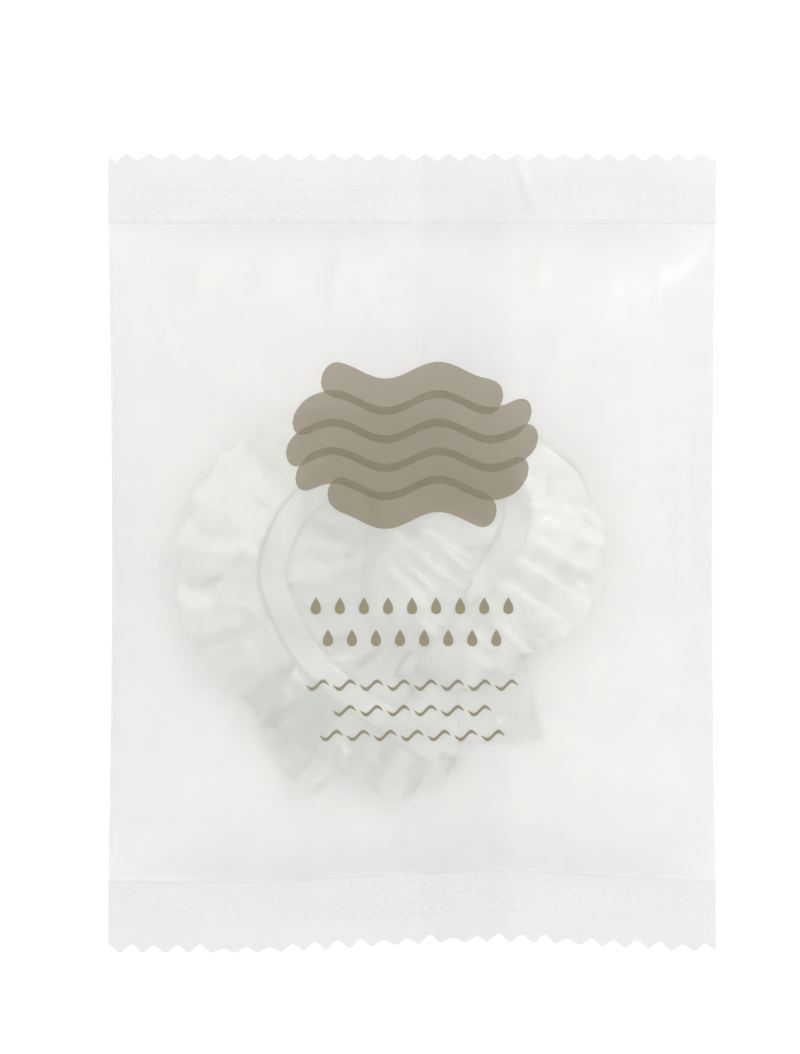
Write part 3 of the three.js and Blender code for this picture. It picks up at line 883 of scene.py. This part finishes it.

# %% Creases of the frills, as start, end, width and height in millimetres
# Raised creases are painted pale as highlights and sunk ones dark as shade.
FRILL_CREASES = [
    ((-25.6, 15), (-17, 7.3), 0.9, 0.85),
    ((-29, 10.8), (-20.5, 3.7), 0.8, 0.85),
    ((-27.4, 7.4), (-21.9, 1.6), 0.5, 0.75),
    ((-33.6, 1.9), (-25, 0.1), 0.5, 0.75),
    ((-32.6, -6.4), (-27.2, -7), 1.1, 0.6),
    ((-16.4, -16.2), (-14.4, -18.6), 0.4, 0.35),
    ((-17.9, -18), (-15.9, -20.4), 0.4, 0.35),
    ((-9.9, -25.8), (-8.3, -28), 0.4, 0.35),
    ((-5.6, -27.8), (-3.8, -30), 0.4, 0.35),
    ((-25.9, -1.3), (-23.1, -2), 0.7, -0.4),
    ((-24.6, -7.8), (-21.6, -9.1), 0.7, -0.4),
    ((-10.6, -19.8), (-16.2, -26.4), 0.45, -0.5),
    ((-9.6, -26.5), (-11.1, -28.7), 0.4, -0.5),
    ((-4.4, -28), (-6.4, -30.3), 0.4, -0.5),
    ((13.4, -0.2), (24.7, -7.3), 0.5, 0.75),
    ((12, -3.6), (22.8, -11.3), 0.6, 0.8),
    ((10.9, -8.8), (17.4, -15.2), 0.6, 0.8),
    ((6.9, -12.2), (11, -16.2), 0.65, 0.6),
    ((25.9, 4.8), (27.3, 1.2), 0.5, 0.36),
    ((19.6, 5.6), (21.8, 4), 0.7, -0.3),
    ((22.2, 1.8), (24.2, 0.4), 0.7, -0.3),
    ((23.6, -3), (25.4, -4), 0.6, -0.3),
]

# %% Shade beside the casing
SHADOW_START, SHADOW_WIDTH = 0.3, 0.9


def beside_casing(distance, darkest):
    """Shade of the film where it dives under the casing, from darkest there to 1 a little way off."""
    return darkest + (1 - darkest) * smooth((distance - SHADOW_START) / SHADOW_WIDTH)


# %% Make the frills
FRILL_ROOT = 1.55
FRILL_ROWS = 60
RIGHT_DROOP = 2.6
CORNER_PLACE, CORNER_REACH, CORNER_DEPTH = 1.5, 0.2, 2.6
END_FADE = 3.0
BROAD_PLEAT, FINE_PLEAT, FINE_PITCH = 1.5, 0.45, 1.7
FRILL_CRINKLE, FRILL_CRINKLE_SIZE = 0.16, 6.0
RIDGE_MARGIN = 3.0
WANDER = 0.8
for name, run, ridges, depths, layer, seed, columns, tones, contrast, darkest in FRILLS:
    numbers = np.linspace(*run, columns)
    shares = np.linspace(0, 1, columns)
    points, _, out = ring_frame(numbers)
    arc = lengths_along(points[:, :2])
    ridge_arc = np.interp(ridges, numbers, arc, left=-RIDGE_MARGIN, right=arc[-1] + RIDGE_MARGIN)
    depth = station_values(depths, shares)
    if name == "frill_left_under":
        depth = depth + CORNER_DEPTH * bell(numbers - CORNER_PLACE, CORNER_REACH)
    tone = station_values(tones, shares)[:, None]
    s, d = np.meshgrid(arc, np.linspace(0, 1, FRILL_ROWS), indexing="ij")
    wander = WANDER * ripples(s, 9 * d, 8.0, seed) * d
    broad, shade = facets(s + wander, ridge_arc, seed + 2)
    fine, _ = facets(s + 0.4 * wander, uneven_ridges(arc[-1], FINE_PITCH, seed + 1), seed + 3)
    reach = depth[:, None] * (0.97 + 0.06 * broad + 0.02 * ripples(s, 0 * s, 2.6, seed + 3)) * d
    root = FRILL_ROOT * cover(numbers)[:, None]
    grid = points[:, None, :] + (root + reach)[:, :, None] * out[:, None, :]
    x, y = grid[:, :, 0], grid[:, :, 1]
    crinkle = crumple(x, y, FRILL_CRINKLE_SIZE, seed + 4)
    z = points[:, 2:3] - layer * LAYER - RIGHT_DROOP * climb(numbers)[:, None] * d
    z = z + BROAD_PLEAT * broad * (0.25 + 0.75 * smooth(d / 0.6))
    z = z + LOWER_RISE * lower_end(numbers)[:, None] * (1 - d)
    z = z + FINE_PLEAT * fine * (1 - smooth(d / 0.35)) + FRILL_CRINKLE * crinkle * smooth(3 * d)
    # Painted highlight and shade over the tone along the frill: ridges, seeded facets, gathers and crinkles
    # paler, furrows darker.
    fold = tone + contrast * (shade - 0.5) + 0.25 * broad
    fold = fold + 0.3 * fine * (1 - smooth(d / 0.4)) + 0.1 * crinkle
    if layer == 0:
        z, fold = creased(z, fold, x, y, FRILL_CREASES)
    grid[:, :, 2] = z
    fold = np.clip(fold, 0, 1) * beside_casing(reach, darkest)
    plies = 0.3 + 0.7 * smooth(np.minimum(s, arc[-1] - s) / END_FADE)
    cap_sheet(name + "_pleats", name, grid, fold, plies)

# %% [markdown]
# ## Crown
#
# Inside the ring lies the crown, the bag that covers the hair, folded with the rest. Its film is gathered at
# the casing and runs smooth towards the middle. Creases beside the right casing, with painted highlights
# where they catch the light, and dark furrows beside the left one, with painted shade in them, are added by
# place.
# Towards its free edge the upper crown is a single ply, clearer than the gathers, and it droops onto the
# lower one; there it is painted a little paler, against the shade of the layers under it.

# %% Where the crowns run to, as the two ends of a line, and their creases
LEFT_FAR = ((6.0, -21.0, 0.0), (3.0, 8.0, 0.0))
RIGHT_FAR = ((-6.0, 9.0, 0.0), (-8.0, -10.0, 0.0))
RIGHT_FAR_UNDER = ((5.0, 9.0, 0.0), (1.0, -10.0, 0.0))
# The glints are creases painted pale as highlights; the furrows below are creases painted dark as shade.
GLINTS = [
    ((-3, 3.6), (4.8, -3.4), 0.5, 0.7),
    ((-1.2, 1.8), (6.6, -4.6), 0.4, 0.6),
    ((-3.4, -1.6), (2, -6.6), 0.55, 0.7),
    ((1.2, 3.6), (8.6, -1), 0.5, 0.6),
    ((5.4, 6.4), (11.4, 2.4), 0.5, 0.5),
    ((-0.6, -1.4), (3.6, -5.4), 0.35, 0.5),
    ((4, 1), (8, -2.4), 0.35, 0.5),
    ((0.6, -8.6), (3.4, -11.4), 0.4, 0.5),
]
FURROWS = [
    ((-3.6, -12.4), (-8.4, -16.6), 0.5, -0.8),
    ((1, -13.2), (-2.6, -17.4), 0.5, -0.8),
    ((4.4, -13.6), (-1.4, -21.2), 0.55, -0.9),
    ((-7.6, -10.2), (-11.2, -13), 0.5, -0.5),
    ((-9.5, 0.8), (-3.8, 3.6), 0.7, -0.35),
    ((-12, -4), (-6, -2.6), 0.7, -0.3),
]

# %% Make the crowns
CROWN_ROOT = 1.45
CROWN_ROWS = 64
CROWN_DARKEST = 0.2
CROWN_EDGE, EDGE_DROOP = 6.0, 1.0
GATHER_REACH = 0.6
FREE_EDGE_PAINTED_LIGHT = 0.05
BROAD_GATHER, FINE_GATHER = 0.8, 0.5
BROAD_GATHER_PITCH, FINE_GATHER_PITCH = 6.0, 1.8
CROWN_CRINKLE, CROWN_CRINKLE_SIZE = 0.3, 7.0
CROWNS = [
    ("crown_left", (-0.1, 7.4), LEFT_FAR, LEFT_Z, 0, 41, FURROWS, 560, 0.47),
    ("crown_left_under", (0.2, 7.4), LEFT_FAR, LEFT_Z - LAYER, 0, 42, [], 300, 0.55),
    ("crown_right", (7.3, 11.8), RIGHT_FAR, RIGHT_Z, 3.2, 43, GLINTS, 460, 0.52),
    ("crown_right_under", (7.3, 11.8), RIGHT_FAR_UNDER, RIGHT_Z - LAYER, 0.6, 44, [], 300, 0.7),
]
for name, run, (far_start, far_end), level, droop, seed, creases, columns, tone in CROWNS:
    numbers = np.linspace(*run, columns)
    points, _, out = ring_frame(numbers)
    arc = lengths_along(points[:, :2])
    near = points - CROWN_ROOT * cover(numbers)[:, None] * out
    far_share = (arc / arc[-1])[:, None]
    far = (1 - far_share) * np.array(far_start) + far_share * np.array(far_end)
    s, d = np.meshgrid(arc, np.linspace(0, 1, CROWN_ROWS), indexing="ij")
    grid = near[:, None, :] + d[:, :, None] * (far - near)[:, None, :]
    x, y = grid[:, :, 0], grid[:, :, 1]
    wander = WANDER * ripples(s, 12 * d, 9.0, seed)
    broad, shade = facets(s + wander * d, uneven_ridges(arc[-1], BROAD_GATHER_PITCH, seed + 1), seed + 5)
    fine, _ = facets(s + 0.3 * wander, uneven_ridges(arc[-1], FINE_GATHER_PITCH, seed + 2), seed + 6)
    crinkle = crumple(x, y, CROWN_CRINKLE_SIZE, seed + 3)
    gathered = 1 - smooth(d / GATHER_REACH)
    z = level + BROAD_GATHER * broad * gathered * smooth(d / 0.1)
    z = z + FINE_GATHER * fine * (1 - d) ** 5 + CROWN_CRINKLE * crinkle * smooth(4 * d)
    z = z + LOWER_RISE * lower_end(numbers)[:, None] * (1 - d)
    # Painted highlight and shade over the tone: gathered ridges, seeded facets and crinkles paler, furrows
    # darker.
    fold = tone + 0.45 * (shade - 0.5) * gathered + 0.25 * broad * gathered
    fold = fold + 0.3 * fine * (1 - d) ** 4 + 0.12 * crinkle
    inside = smooth(np.minimum(s, arc[-1] - s) / CROWN_EDGE)
    plies = np.ones_like(z)
    if droop > 0:
        z = z - droop * smooth(d) ** 2 - EDGE_DROOP * (1 - inside) * smooth(3 * d)
        plies = (0.25 + 0.75 * inside) * (1 - 0.95 * smooth(4 * d - 3))
        # Painted light: a little paler towards the free edge, against the shade of the layers under it.
        fold = fold + FREE_EDGE_PAINTED_LIGHT * smooth(d)
    if creases:
        z, fold = creased(z, fold, x, y, creases)
    grid[:, :, 2] = z
    from_casing = d * np.linalg.norm(far - near, axis=1)[:, None]
    fold = np.clip(fold, 0, 1) * beside_casing(from_casing, CROWN_DARKEST)
    cap_sheet(name + "_film", name, grid, fold, plies)

# %% [markdown]
# ## Tail
#
# A corner of the crown's film spills out between the lobes at the lower right. It starts level with the crown
# and sinks to the lowest layer, so it only shows as a soft shape through the film.

# %% Make the tail
TAIL_COLUMNS, TAIL_ROWS = 120, 70
TAIL_PLACE, TAIL_INSET, TAIL_START = 0.2, 2.1, 0.4
TAIL_LENGTH, TAIL_NARROWING, TAIL_LAP = 17.5, 3.0, 1.5
TAIL_PLEAT, TAIL_CRINKLE = 1.0, 0.25
foot_point, _, foot_out = ring_frame(np.array([TAIL_PLACE]))
foot = foot_point[0] - TAIL_INSET * foot_out[0]
top = np.array([0.0, -14.5, foot[2]])
s, d = np.meshgrid(np.linspace(0, 1, TAIL_COLUMNS), np.linspace(0, 1, TAIL_ROWS), indexing="ij")
grid = top + s[:, :, None] * (foot - top)
grid[:, :, 0] += d * (TAIL_LENGTH - TAIL_NARROWING * s) - TAIL_LAP
tail_ridges = uneven_ridges(1.0, 0.24, 51)
tail_wander = 0.03 * ripples(20 * s, 12 * d, 8.0, 52)
broad, shade = facets(s + tail_wander, tail_ridges, 54)
crinkle = crumple(grid[:, :, 0], grid[:, :, 1], 5.0, 53)
z = foot[2] - TAIL_START - (LAYER - TAIL_START) * smooth(d / 0.6)
grid[:, :, 2] = z + TAIL_PLEAT * broad * d + TAIL_CRINKLE * crinkle
# Painted highlight and shade: pleat ridges and seeded facets paler, furrows darker.
fold = np.clip(0.42 + 0.3 * (shade - 0.5) + 0.4 * broad, 0, 1)
cap_sheet("tail_film", "crown_tail", grid, fold, np.ones_like(fold))

# %% [markdown]
# ## Print
#
# The front film is printed in one taupe ink. The design here is a plain one of its own: five see-through
# water ribbons, darker where they overlap, and rows of drops and short waves under them. Ink could be painted
# in the film's material, but as thin sheets that follow the film its edges stay sharp.

# %% The ink's finishes
def ink(name, colour, alpha):
    """Ink with a fine speckle of a lighter tone."""
    finish = Finish(name)
    speckle = finish.cloud(0.5, 3.0)
    lighter = tuple(1.12 * part for part in colour[:3]) + (1.0,)
    finish.wear({
        "Base Color": finish.blend_colours(speckle, colour, lighter),
        "Roughness": 0.5 + 0.1 * speckle,
        "Alpha": alpha + 0.06 * speckle,
    })
    return finish


ribbon_ink = ink("ribbon_ink", (0.30, 0.255, 0.175, 1), 0.42)
mark_ink = ink("mark_ink", (0.255, 0.22, 0.145, 1), 0.82)
INK, INK_LIFT = 0.02, 0.05


def on_film(name, plans, finish):
    """Sheets of ink on the front film, from grids of places in plan."""
    grids = []
    for plan in plans:
        z = front_height(plan[:, :, 0], plan[:, :, 1]) + FILM / 2 + INK_LIFT
        grids.append(np.dstack([plan, z]))
    piece = film(name, grids, INK, finish)
    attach(piece, "sachet")


# %% Water ribbons
RIBBONS = [
    ("ribbon_1", 22.6, 12.5), ("ribbon_2", 18.7, 16.4), ("ribbon_3", 14.8, 17.3), ("ribbon_4", 10.9, 16.0),
    ("ribbon_5", 7.0, 11.6),
]
RIBBON_WAVE, RIBBON_SWING, RIBBON_HALF = 14.5, 1.15, 2.5
RIBBON_BLUNTNESS = 1.0004
for name, height, half_length in RIBBONS:
    along, side = np.meshgrid(np.linspace(-1, 1, 160), np.linspace(-1, 1, 16), indexing="ij")
    x = half_length * along
    centre = height + RIBBON_SWING * np.sin(TURN * x / RIBBON_WAVE)
    from_end = half_length * (1 - np.abs(along))
    to_tip = np.clip(1 - from_end / RIBBON_HALF, 0, 1)
    half_breadth = RIBBON_HALF * np.sqrt(RIBBON_BLUNTNESS - to_tip**2)
    on_film(name, [np.dstack([x, centre + side * half_breadth])], ribbon_ink)

# %% Rows of drops
DROP_ROWS = [("drops_upper", -7.2, 9), ("drops_lower", -11.6, 8)]
DROP_HEIGHT, DROP_WIDTH, DROP_PITCH = 2.3, 1.5, 3.3
DROP_POINT, DROP_BELLY = 1.2, 1.25


def in_a_row(count, pitch):
    """Places at even steps with their middle at 0."""
    return (np.arange(count) - (count - 1) / 2) * pitch


angle, rim = np.meshgrid(np.linspace(0, TURN, 41), np.linspace(0.02, 1, 6), indexing="ij")
drop_x = DROP_WIDTH / 2 * np.sin(angle) * np.sin(angle / 2) ** DROP_POINT * DROP_BELLY * rim
drop_y = DROP_HEIGHT / 2 * np.cos(angle) * rim
for row, height, count in DROP_ROWS:
    centres = in_a_row(count, DROP_PITCH)
    on_film(row, [np.dstack([centre + drop_x, height + drop_y])[::-1] for centre in centres], mark_ink)

# %% Rows of short waves
WAVE_ROWS = [("waves_upper", -18.1, 8), ("waves_mid", -21.6, 6), ("waves_lower", -25.0, 7)]
WAVE_PITCH, WAVE_SWING, WAVE_HALF, WAVE_REACH = 3.7, 0.55, 0.27, 1.55
WAVE_BLUNTNESS = 1.02
along, side = np.meshgrid(np.linspace(-1, 1, 40), np.linspace(-1, 1, 5), indexing="ij")
for row, height, count in WAVE_ROWS:
    y = height + WAVE_SWING * np.sin(math.pi * along)
    y = y + side * WAVE_HALF * np.sqrt(WAVE_BLUNTNESS - along**2)
    centres = in_a_row(count, WAVE_PITCH)
    on_film(row, [np.dstack([centre + WAVE_REACH * along, y]) for centre in centres], mark_ink)

# %% [markdown]
# ## Table, light and camera
#
# The photograph is a packshot: straight from above, on white, with soft light and hardly a shadow. An even
# white surround gives most of the light, a soft box towards the top end models the folds, and a small lamp at
# the upper right gives glints, beside the highlights that are painted on the cap's creases. The table glows a
# little, as a light table does, so it stays white and takes no shadow.

# %% Table
TABLE_HALF = 1.5
table_finish = Finish("white_table")
table_grain = table_finish.cloud(30.0)
table_finish.wear({
    "Base Color": table_finish.blend_colours(table_grain, (0.90, 0.90, 0.90, 1), (0.92, 0.92, 0.92, 1)),
    "Roughness": 0.9 + 0.05 * table_grain,
    "Emission Color": (1.0, 1.0, 1.0, 1.0),
    "Emission Strength": 0.35,
})
table_mesh = bpy.data.meshes.new("table")
corners = [(x * TABLE_HALF, y * TABLE_HALF, 0) for x, y in [(-1, -1), (1, -1), (1, 1), (-1, 1)]]
table_mesh.from_pydata(corners, [], [(0, 1, 2, 3)])
table_mesh.materials.append(table_finish.material)
table = add_object("table", table_mesh)

# %% Light
world = bpy.data.worlds.new("white_surround")
world.use_nodes = True
background = world.node_tree.nodes["Background"]
background.inputs["Color"].default_value = (0.98, 0.99, 1.0, 1)
background.inputs["Strength"].default_value = 1.07
bpy.context.scene.world = world


def lamp(name, place, size, watts):
    """A square lamp, not seen itself, that points at the middle of the table."""
    light = bpy.data.lights.new(name, "AREA")
    light.shape = "SQUARE"
    light.size = size
    light.energy = watts
    lamp_object = add_object(name, light)
    lamp_object.location = place
    lamp_object.rotation_euler = (-lamp_object.location).to_track_quat("-Z", "Y").to_euler()
    lamp_object.visible_camera = False
    print("lamp", name, watts, "W")


lamp("soft_box", (0.06, 0.36, 0.76), 0.45, 0.7)
lamp("key_lamp", (0.36, 0.34, 0.54), 0.045, 0.9)
bpy.context.scene.view_settings.view_transform = "Standard"

# %% Camera
FRAME_WIDTH, FRAME_HEIGHT = 800, 1054
SACHET_PIXELS = 608
MM_PER_PIXEL = 2 * HALF_WIDTH / SACHET_PIXELS
OBJECT_X, OBJECT_Y = 412, 553
SENSOR, LENS = 36.0, 200.0
view_x = (FRAME_WIDTH / 2 - OBJECT_X) * MM_PER_PIXEL * MM
view_y = (OBJECT_Y - FRAME_HEIGHT / 2) * MM_PER_PIXEL * MM
distance = FRAME_HEIGHT * MM_PER_PIXEL * MM * LENS / SENSOR
camera = bpy.data.cameras.new("camera")
camera.lens = LENS
camera.sensor_width = SENSOR
camera_object = add_object("camera", camera)
camera_object.location = (view_x, view_y, SEAL_Z * MM + distance)
bpy.context.scene.camera = camera_object
print("camera", round(distance, 3), "m above the seals")
